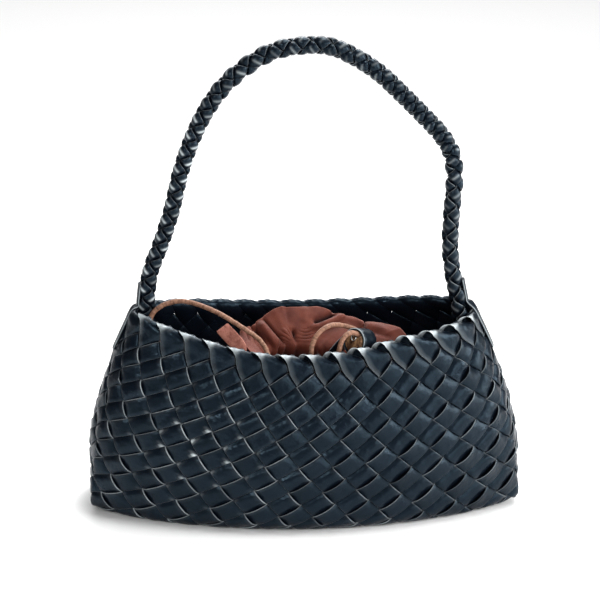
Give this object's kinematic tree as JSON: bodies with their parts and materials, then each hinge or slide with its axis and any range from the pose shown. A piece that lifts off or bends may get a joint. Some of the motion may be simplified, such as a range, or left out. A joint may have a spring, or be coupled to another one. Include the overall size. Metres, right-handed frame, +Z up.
{
  "type": "woven shoulder bag",
  "caption": "Small leather shoulder bag plaited on the slant, with a scalloped rim, a round braided handle and a gathered cloth drawstring pouch inside.",
  "frame": {"origin": "centre of the bag's base, on the surface that it stands on", "axes": "+Z up, +X to the right of the bag's front, the front faces -Y"},
  "size_m": [0.32, 0.1496, 0.3519],
  "materials": {
    "leather_black": "smooth black leather with a blue cast, semi-gloss",
    "leather_tan": "natural tan leather, matt",
    "cloth_rust": "soft rust brown cloth with a fine rib"
  },
  "bodies": {
    "root": {"woven_body": "leather_black", "handle_braid": "leather_black", "handle_strip_left": "leather_black", "handle_strip_right": "leather_black", "pouch": "cloth_rust", "drawcord_left": "leather_tan", "drawcord_right": "leather_tan", "toggle_wrap": "leather_black", "toggle_core": "leather_tan", "label_tag": "leather_tan"}
  },
  "joints": []
}
